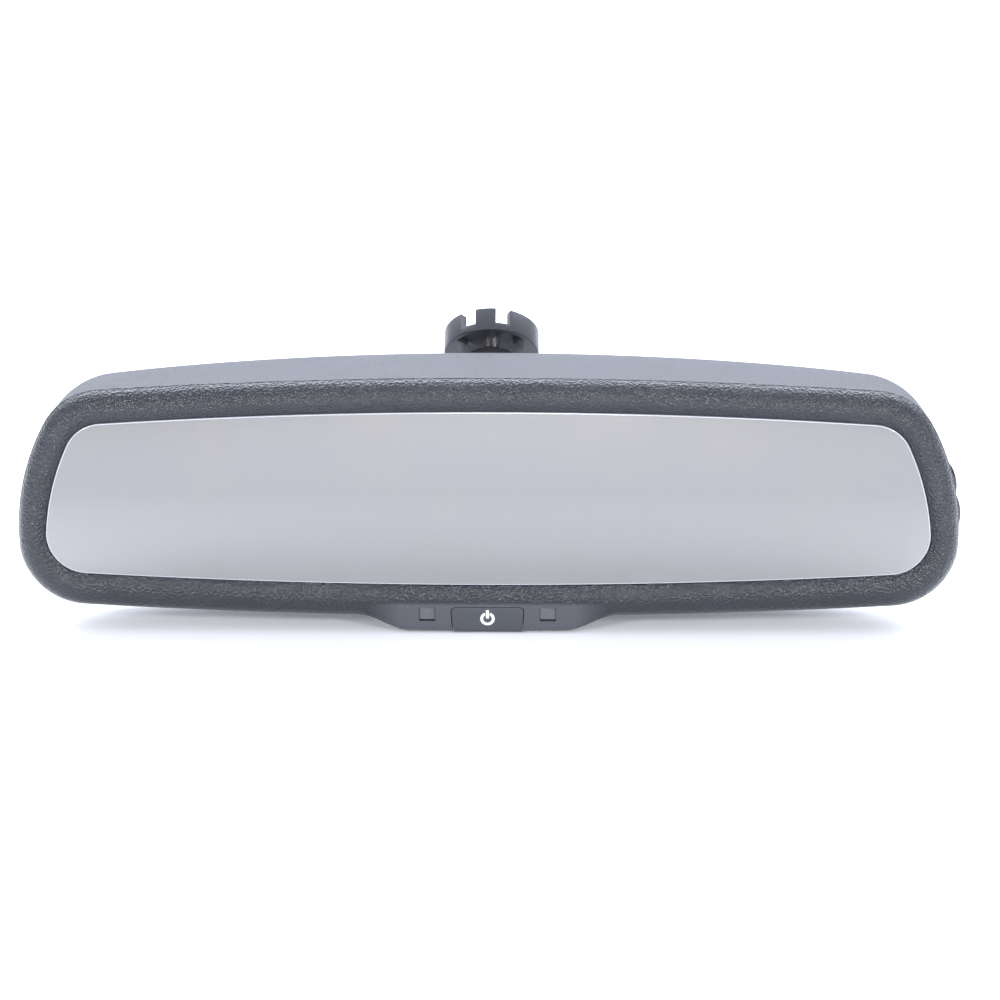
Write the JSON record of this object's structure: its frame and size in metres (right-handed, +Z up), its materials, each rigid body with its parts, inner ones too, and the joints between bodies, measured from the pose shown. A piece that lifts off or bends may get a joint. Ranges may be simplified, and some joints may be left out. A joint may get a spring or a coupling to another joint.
{
  "type": "interior rearview mirror",
  "caption": "Wide self-dimming interior rearview mirror with a power key under the glass, side keys, and a double-ball arm ending in a castellated windscreen socket.",
  "frame": {"origin": "middle of the windscreen socket's bore, on its axis", "axes": "+X to the driver's right along the head, +Y forwards, away from the driver, +Z up; the glass faces -Y"},
  "size_m": [0.2566, 0.0862, 0.0765],
  "materials": {
    "grained_black": "fine pebble grain, satin",
    "clear_glass": "polished",
    "seal_black": "cured sealant",
    "gel": "clear gel",
    "mirror_coat": "silvered",
    "bus_metal": "tinned spring strip",
    "foam": "closed-cell foam",
    "white_plastic": "moulded",
    "board": "solder mask",
    "chip_black": "moulded",
    "can_metal": "drawn can",
    "steel": "zinc plated",
    "plated_steel": "turned and plated",
    "spring_steel": "oiled wire",
    "socket_black": "moulded",
    "pin_gold": "gold flash",
    "smoke_lens": "frosted smoke",
    "led_clear": "clear epoxy",
    "flat_lead": "polyimide film",
    "key_black": "smooth satin",
    "gloss_black": "glossy",
    "symbol_white": "printed",
    "nylon": "natural nylon",
    "arm_black": "satin powder coat",
    "socket_metal": "satin powder coat"
  },
  "bodies": {
    "socket": {"mount_socket": "socket_metal", "base_ball_stud": "plated_steel"},
    "upper_cup": {"upper_ball_cup": "nylon"},
    "arm": {"arm_tube": "arm_black", "arm_spring": "spring_steel", "upper_backing_cup": "steel"},
    "lower_seat": {"lower_backing_cup": "steel"},
    "lower_cup": {"lower_ball_cup": "nylon"},
    "head": {"bezel": "grained_black", "rear_housing": "grained_black", "front_glass": "clear_glass", "gel_seal": "seal_black", "dimming_gel": "gel", "rear_glass": "mirror_coat", "upper_bus_clip": "bus_metal", "lower_bus_clip": "bus_metal", "glass_pad": "foam", "carrier_plate": "white_plastic", "main_board": "board", "board_chips": "chip_black", "board_capacitors": "can_metal", "board_screws": "steel", "harness_socket": "socket_black", "socket_pins": "pin_gold", "ambient_sensor": "chip_black", "ambient_lens": "smoke_lens", "chin_board": "board", "glare_sensor": "chip_black", "indicator_led": "led_clear", "sensor_window": "smoke_lens", "indicator_window": "smoke_lens", "key_switch": "chip_black", "chin_ribbon": "flat_lead", "side_board": "board", "side_switches": "chip_black", "side_ribbon": "flat_lead", "pivot_plate": "steel", "pivot_plate_screws": "steel", "head_ball_stud": "plated_steel"},
    "power_button": {"power_key": "key_black", "power_symbol": "symbol_white", "power_plunger": "nylon"},
    "upper_side_button": {"upper_side_key": "gloss_black", "upper_side_plunger": "nylon"},
    "lower_side_button": {"lower_side_key": "gloss_black", "lower_side_plunger": "nylon"}
  },
  "joints": [
    {"name": "arm_pitch", "type": "hinge", "parent": "socket", "child": "upper_cup", "pos_m": [0, -0.00788, -0.00753], "axis": [1, 0, 0], "range_deg": [-16, 16]},
    {"name": "arm_swing", "type": "hinge", "parent": "upper_cup", "child": "arm", "pos_m": [0, -0.00788, -0.00753], "axis": [0, -0.6909, 0.723], "range_deg": [-16, 16]},
    {"name": "head_roll", "type": "hinge", "parent": "arm", "child": "lower_seat", "pos_m": [0, -0.02776, -0.02653], "axis": [0, 0.723, 0.6909], "range_deg": [-20, 20]},
    {"name": "head_pitch", "type": "hinge", "parent": "lower_seat", "child": "lower_cup", "pos_m": [0, -0.02776, -0.02653], "axis": [1, 0, 0], "range_deg": [-15, 15]},
    {"name": "head_yaw", "type": "hinge", "parent": "lower_cup", "child": "head", "pos_m": [0, -0.02776, -0.02653], "axis": [0, 0, 1], "range_deg": [-15, 15]},
    {"name": "power_press", "type": "slide", "parent": "head", "child": "power_button", "axis": [0, 1, 0], "range_m": [0, 0.0005], "stiffness_N_per_m": 800, "springref_m": -0.0008},
    {"name": "upper_side_press", "type": "slide", "parent": "head", "child": "upper_side_button", "axis": [-1, 0, 0], "range_m": [0, 0.0004], "stiffness_N_per_m": 800, "springref_m": -0.0008},
    {"name": "lower_side_press", "type": "slide", "parent": "head", "child": "lower_side_button", "axis": [-1, 0, 0], "range_m": [0, 0.0004], "stiffness_N_per_m": 800, "springref_m": -0.0008}
  ]
}
